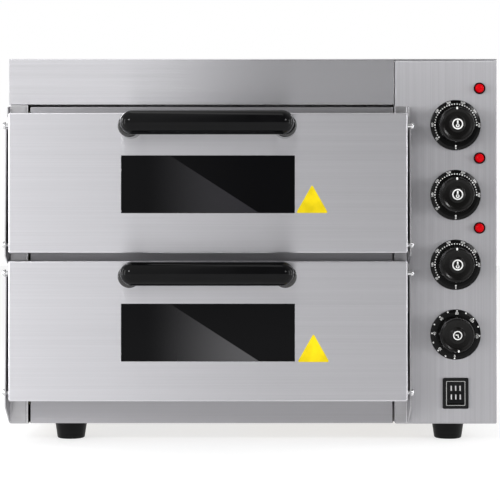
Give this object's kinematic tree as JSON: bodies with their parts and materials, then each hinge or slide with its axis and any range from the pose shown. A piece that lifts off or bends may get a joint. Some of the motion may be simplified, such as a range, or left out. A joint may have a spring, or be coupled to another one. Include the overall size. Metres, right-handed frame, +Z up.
{
  "type": "countertop pizza oven",
  "caption": "Electric countertop pizza oven with stacked decks, tip-down glazed doors with bar handles, a side panel with knobs, lamps and a rocker switch, and rubber feet.",
  "frame": {"origin": "centre of the bounding box at the level of the feet's soles", "axes": "+Z up, front and doors towards -Y, control panel at +X"},
  "size_m": [0.5646, 0.57, 0.439],
  "materials": {
    "brushed_steel": "satin",
    "inner_steel": "satin",
    "chrome": "polished",
    "black_bakelite": "gloss",
    "dial_face": "satin",
    "switch_plastic": "satin",
    "switchgear_plastic": "matte",
    "red_lens": "gloss",
    "dark_glass": "polished",
    "black_rubber": "matte",
    "baking_stone": "matte",
    "mineral_wool": "matte",
    "element_sheath": "satin"
  },
  "bodies": {
    "casing": {"top_cover": "brushed_steel", "left_side_panel": "brushed_steel", "right_side_panel": "brushed_steel", "rear_panel": "brushed_steel", "base_plate": "inner_steel", "front_frame": "brushed_steel", "bay_partition": "inner_steel", "control_panel": "brushed_steel", "hinge_cheek_left": "inner_steel", "hinge_cheek_right": "inner_steel", "upper_chamber": "inner_steel", "lower_chamber": "inner_steel", "upper_stone": "baking_stone", "lower_stone": "baking_stone", "insulation_wrap": "mineral_wool", "heating_element_top": "element_sheath", "heating_element_middle": "element_sheath", "heating_element_bottom": "element_sheath", "top_thermostat_dial": "dial_face", "middle_thermostat_dial": "dial_face", "bottom_thermostat_dial": "dial_face", "timer_dial": "dial_face", "top_thermostat_body": "switchgear_plastic", "middle_thermostat_body": "switchgear_plastic", "bottom_thermostat_body": "switchgear_plastic", "timer_body": "switchgear_plastic", "top_heating_lamp": "red_lens", "middle_heating_lamp": "red_lens", "bottom_heating_lamp": "red_lens", "switch_frame": "switch_plastic", "cable_gland": "switch_plastic", "foot_front_left": "black_rubber", "foot_front_right": "black_rubber", "foot_rear_left": "black_rubber", "foot_rear_right": "black_rubber"},
    "upper_door": {"upper_door_skin": "brushed_steel", "upper_door_liner": "inner_steel", "upper_window_glass": "dark_glass", "upper_handle_grip": "black_bakelite", "upper_handle_post_left": "chrome", "upper_handle_post_right": "chrome", "upper_pivot_pin_left": "chrome", "upper_pivot_pin_right": "chrome", "upper_catch_screw_left": "chrome", "upper_catch_screw_right": "chrome"},
    "lower_door": {"lower_door_skin": "brushed_steel", "lower_door_liner": "inner_steel", "lower_window_glass": "dark_glass", "lower_handle_grip": "black_bakelite", "lower_handle_post_left": "chrome", "lower_handle_post_right": "chrome", "lower_pivot_pin_left": "chrome", "lower_pivot_pin_right": "chrome", "lower_catch_screw_left": "chrome", "lower_catch_screw_right": "chrome"},
    "top_thermostat_knob": {"top_thermostat_knob": "black_bakelite"},
    "middle_thermostat_knob": {"middle_thermostat_knob": "black_bakelite"},
    "bottom_thermostat_knob": {"bottom_thermostat_knob": "black_bakelite"},
    "timer_knob": {"timer_knob": "black_bakelite"},
    "rocker": {"rocker": "switch_plastic"}
  },
  "joints": [
    {"name": "upper_door_hinge", "type": "hinge", "parent": "casing", "child": "upper_door", "pos_m": [-0.04845, -0.2244, 0.2254], "axis": [1, 0, 0], "range_deg": [0, 85]},
    {"name": "lower_door_hinge", "type": "hinge", "parent": "casing", "child": "lower_door", "pos_m": [-0.04845, -0.2244, 0.0585], "axis": [1, 0, 0], "range_deg": [0, 85]},
    {"name": "top_thermostat_turn", "type": "hinge", "parent": "casing", "child": "top_thermostat_knob", "pos_m": [0.2346, -0.2004, 0.3628], "axis": [0, 1, 0], "range_deg": [-180, 90]},
    {"name": "middle_thermostat_turn", "type": "hinge", "parent": "casing", "child": "middle_thermostat_knob", "pos_m": [0.2346, -0.2004, 0.2827], "axis": [0, 1, 0], "range_deg": [-180, 90]},
    {"name": "bottom_thermostat_turn", "type": "hinge", "parent": "casing", "child": "bottom_thermostat_knob", "pos_m": [0.2346, -0.2004, 0.2026], "axis": [0, 1, 0], "range_deg": [-180, 90]},
    {"name": "timer_turn", "type": "hinge", "parent": "casing", "child": "timer_knob", "pos_m": [0.2346, -0.2004, 0.1225], "axis": [0, 1, 0], "range_deg": [0, 270]},
    {"name": "rocker_tilt", "type": "hinge", "parent": "casing", "child": "rocker", "pos_m": [0.2346, -0.1964, 0.0551], "axis": [1, 0, 0], "range_deg": [0, 16]}
  ]
}
